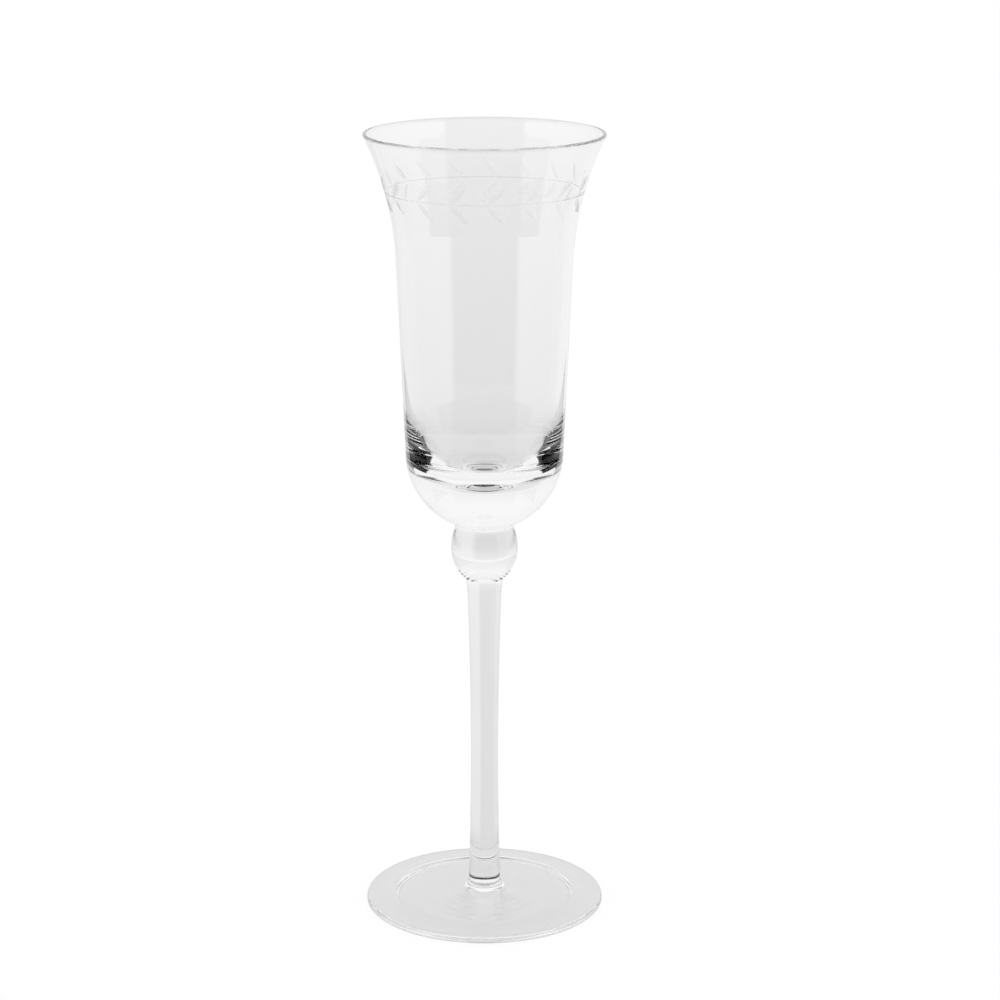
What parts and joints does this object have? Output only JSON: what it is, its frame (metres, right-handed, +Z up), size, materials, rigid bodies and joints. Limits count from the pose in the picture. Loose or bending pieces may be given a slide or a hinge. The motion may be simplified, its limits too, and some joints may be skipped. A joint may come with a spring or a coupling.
{
  "type": "champagne glass",
  "caption": "Clear stemmed champagne glass with a flared bowl, thick round bottom, ball knop, slender waisted stem and round foot, and a cut band of paired leaves below the rim.",
  "frame": {"origin": "centre of the foot, at the level it rests on", "axes": "+Z up along the axis of the glass, from foot to rim; +X to the right and -Y towards the viewer in the picture"},
  "size_m": [0.0734, 0.0734, 0.24],
  "materials": {
    "clear_glass": "polished"
  },
  "bodies": {
    "root": {"foot": "clear_glass", "stem": "clear_glass", "knop": "clear_glass", "bowl": "clear_glass"}
  },
  "joints": []
}
